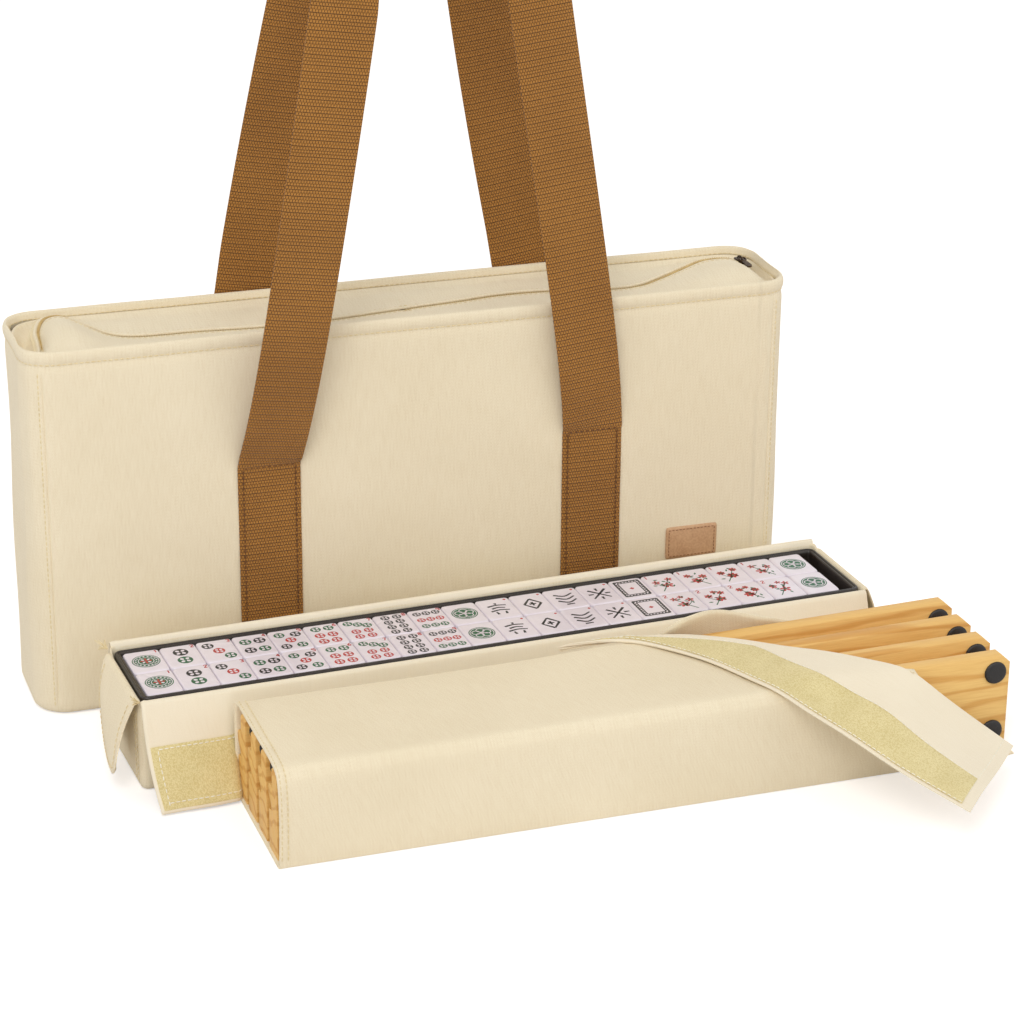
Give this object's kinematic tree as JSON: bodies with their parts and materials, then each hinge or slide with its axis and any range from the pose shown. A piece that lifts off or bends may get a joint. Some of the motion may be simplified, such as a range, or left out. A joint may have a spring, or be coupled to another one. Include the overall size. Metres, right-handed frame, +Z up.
{
  "type": "mahjong carry case",
  "caption": "Zipped canvas tote with two webbing handles, a fabric tile case holding stacked trays of tiles, and a fabric pouch holding wooden racks.",
  "frame": {"origin": "centre of the tote's base, on the surface that everything stands on", "axes": "+X to the right along the tote, +Y towards the tote's back, +Z up"},
  "size_m": [0.5483, 0.4185, 0.5211],
  "materials": {
    "canvas": "woven cream canvas",
    "lining": "smooth cream cloth",
    "loop": "khaki hook-and-loop band",
    "webbing": "coarse tan-brown webbing",
    "zip_teeth": "cream coil zip",
    "board": "stiff fibre board",
    "leather": "plain tan patch",
    "metal": "dark antique bronze",
    "plastic": "satin black-brown",
    "tile": "polished lilac white",
    "wood": "clear pine",
    "rubber": "matte black"
  },
  "bodies": {
    "tote": {"bag_base": "canvas", "base_board": "board", "front_panel": "canvas", "back_panel": "canvas", "left_end": "canvas", "right_end": "canvas", "rim_hem": "canvas", "left_zip_tab": "canvas", "right_zip_tab": "canvas", "zip_chain_ends": "zip_teeth", "leather_patch": "leather", "front_strap_left": "webbing", "front_strap_right": "webbing", "back_strap_left": "webbing", "back_strap_right": "webbing"},
    "front_zip": {"front_zip_panel": "canvas", "front_zip_tape": "zip_teeth"},
    "back_zip": {"back_zip_panel": "canvas", "back_zip_tape": "zip_teeth"},
    "slider": {"zip_slider": "metal"},
    "pull": {"zip_pull": "metal"},
    "front_carry_handle": {"front_handle": "webbing"},
    "back_carry_handle": {"back_handle": "webbing"},
    "tile_case": {"case_base": "canvas", "case_front_wall": "canvas", "case_back_wall": "canvas", "case_left_wall": "canvas", "case_right_wall": "canvas"},
    "tile_case_front": {"case_front_flap": "lining", "case_loop_band": "loop"},
    "tile_case_back": {"case_back_flap": "lining", "case_hook_band": "loop"},
    "tile_case_left": {"case_left_flap": "lining"},
    "tile_case_right": {"case_right_flap": "lining"},
    "first_tray": {"tray_1": "plastic", "tiles_1": "tile"},
    "second_tray": {"tray_2": "plastic", "tiles_2": "tile"},
    "third_tray": {"tray_3": "plastic", "tiles_3": "tile"},
    "top_tray": {"tray_4": "plastic"},
    "front_tiles": {"tiles_front_row": "tile"},
    "back_tiles": {"tiles_back_row": "tile"},
    "rack_pouch": {"pouch_base": "canvas", "pouch_back_wall": "canvas", "pouch_cover": "canvas", "pouch_apron": "canvas", "pouch_hook_band": "loop"},
    "pouch_peel": {"pouch_flap": "lining", "pouch_loop_band": "loop"},
    "rack_1_body": {"rack_1": "wood", "rack_1_feet": "rubber"},
    "rack_2_body": {"rack_2": "wood", "rack_2_feet": "rubber"},
    "rack_3_body": {"rack_3": "wood", "rack_3_feet": "rubber"},
    "rack_4_body": {"rack_4": "wood", "rack_4_feet": "rubber"}
  },
  "joints": [
    {"name": "front_zip_panel_fold", "type": "hinge", "parent": "tote", "child": "front_zip", "pos_m": [0, -0.0361, 0.227], "axis": [1, 0, 0], "range_deg": [0, 85]},
    {"name": "back_zip_panel_fold", "type": "hinge", "parent": "tote", "child": "back_zip", "pos_m": [0, 0.0361, 0.227], "axis": [-1, 0, 0], "range_deg": [0, 85]},
    {"name": "zip_slide", "type": "slide", "parent": "tote", "child": "slider", "axis": [-0.9993, -0.0372, 0], "range_m": [0, 0.462]},
    {"name": "zip_pull_swing", "type": "hinge", "parent": "slider", "child": "pull", "pos_m": [0.2338, 0.0137, 0.2311], "axis": [-0.0372, 0.9993, 0], "range_deg": [0, 120]},
    {"name": "front_handle_swing", "type": "hinge", "parent": "tote", "child": "front_carry_handle", "pos_m": [0.0065, -0.0431, 0.15115], "axis": [-1, 0, 0], "range_deg": [-100, 3.5]},
    {"name": "back_handle_swing", "type": "hinge", "parent": "tote", "child": "back_carry_handle", "pos_m": [0.0065, 0.0431, 0.15115], "axis": [-1, 0, 0], "range_deg": [0, 100]},
    {"name": "tile_case_lift", "type": "slide", "parent": "tote", "child": "tile_case", "axis": [0, 0, 1], "range_m": [0, 0.08]},
    {"name": "case_front_flap_fold", "type": "hinge", "parent": "tile_case", "child": "tile_case_front", "pos_m": [-0.19788, -0.15263, 0.059], "axis": [-0.999, -0.0436, 0], "range_deg": [0, 222], "deforming": ["case_front_flap", "case_loop_band"]},
    {"name": "case_back_flap_fold", "type": "hinge", "parent": "tile_case", "child": "tile_case_back", "pos_m": [-0.20116, -0.0775, 0.0617], "axis": [0.999, 0.0436, 0], "range_deg": [0, 235], "deforming": ["case_back_flap", "case_hook_band"]},
    {"name": "case_left_flap_fold", "type": "hinge", "parent": "tile_case", "child": "tile_case_left", "pos_m": [-0.20549, -0.14565, 0.059], "axis": [-0.0436, 0.999, 0], "range_deg": [0, 226]},
    {"name": "case_right_flap_fold", "type": "hinge", "parent": "tile_case", "child": "tile_case_right", "pos_m": [0.26226, -0.12523, 0.059], "axis": [0.0436, -0.999, 0], "range_deg": [0, 226]},
    {"name": "first_tray_lift", "type": "slide", "parent": "tile_case", "child": "first_tray", "axis": [0, 0, 1], "range_m": [0, 0.1]},
    {"name": "second_tray_lift", "type": "slide", "parent": "first_tray", "child": "second_tray", "axis": [0, 0, 1], "range_m": [0, 0.05]},
    {"name": "third_tray_lift", "type": "slide", "parent": "second_tray", "child": "third_tray", "axis": [0, 0, 1], "range_m": [0, 0.05]},
    {"name": "top_tray_lift", "type": "slide", "parent": "third_tray", "child": "top_tray", "axis": [0, 0, 1], "range_m": [0, 0.04]},
    {"name": "front_tiles_lift", "type": "slide", "parent": "top_tray", "child": "front_tiles", "axis": [0, 0, 1], "range_m": [0, 0.04]},
    {"name": "back_tiles_lift", "type": "slide", "parent": "top_tray", "child": "back_tiles", "axis": [0, 0, 1], "range_m": [0, 0.04]},
    {"name": "rack_pouch_lift", "type": "slide", "parent": "tote", "child": "rack_pouch", "axis": [0, 0, 1], "range_m": [0, 0.08]},
    {"name": "pouch_peel_fold", "type": "hinge", "parent": "rack_pouch", "child": "pouch_peel", "pos_m": [0.23669, -0.26254, 0.06005], "axis": [-0.7945, 0.6072, 0], "range_deg": [0, 150]},
    {"name": "rack_1_slide", "type": "slide", "parent": "rack_pouch", "child": "rack_1_body", "axis": [1, 0.007, 0], "range_m": [0, 0.44]},
    {"name": "rack_2_slide", "type": "slide", "parent": "rack_pouch", "child": "rack_2_body", "axis": [1, 0.007, 0], "range_m": [0, 0.44]},
    {"name": "rack_3_slide", "type": "slide", "parent": "rack_pouch", "child": "rack_3_body", "axis": [1, 0.007, 0], "range_m": [0, 0.44]},
    {"name": "rack_4_slide", "type": "slide", "parent": "rack_pouch", "child": "rack_4_body", "axis": [1, 0.007, 0], "range_m": [0, 0.44]}
  ]
}
